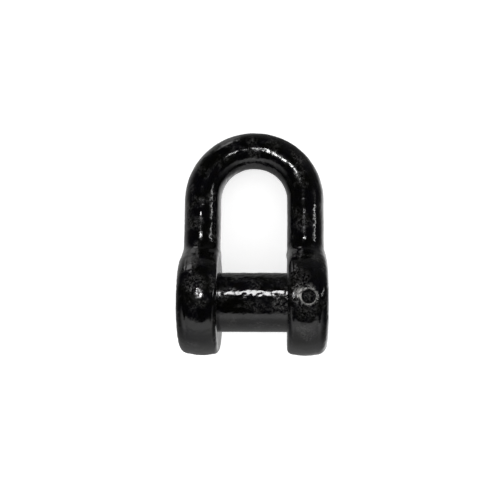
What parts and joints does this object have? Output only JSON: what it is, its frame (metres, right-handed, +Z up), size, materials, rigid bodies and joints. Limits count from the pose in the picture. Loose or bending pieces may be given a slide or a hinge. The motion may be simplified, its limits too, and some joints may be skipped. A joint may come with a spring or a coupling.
{
  "type": "dee shackle",
  "caption": "Dee shackle for stud-link anchor chain: round-bar bow with thick disc ears, a headless round main pin, and a taper pin sealed by a lead pellet. Forged, painted gloss black.",
  "frame": {"origin": "centre of the base of the bounding box, on the surface the shackle lies on: both ear rims and the crown touch Z = 0", "axes": "+X along the main pin, towards the ear with the taper pin; +Y from the pin towards the crown; +Z up, the side the taper pin is driven from"},
  "size_m": [0.155, 0.2394, 0.1124],
  "materials": {
    "shackle_body_paint": "thick gloss black paint, brushed over a forged surface",
    "shackle_pin_paint": "thick gloss black paint, lumpy along the pin",
    "taper_pin_steel": "turned steel, oiled, unpainted inside the hole",
    "lead_pellet_paint": "hammered lead, painted over in gloss black"
  },
  "bodies": {
    "shackle": {"shackle_body": "shackle_body_paint", "shackle_pin": "shackle_pin_paint"},
    "taper_pin": {"taper_pin": "taper_pin_steel"},
    "lead_pellet": {"lead_pellet": "lead_pellet_paint"}
  },
  "joints": [
    {"name": "taper_pin_slide", "type": "slide", "parent": "shackle", "child": "taper_pin", "axis": [0, 0.2174, 0.9761], "range_m": [0, 0.108]},
    {"name": "lead_pellet_slide", "type": "slide", "parent": "taper_pin", "child": "lead_pellet", "axis": [0, 0.2174, 0.9761], "range_m": [0, 0.012]}
  ]
}
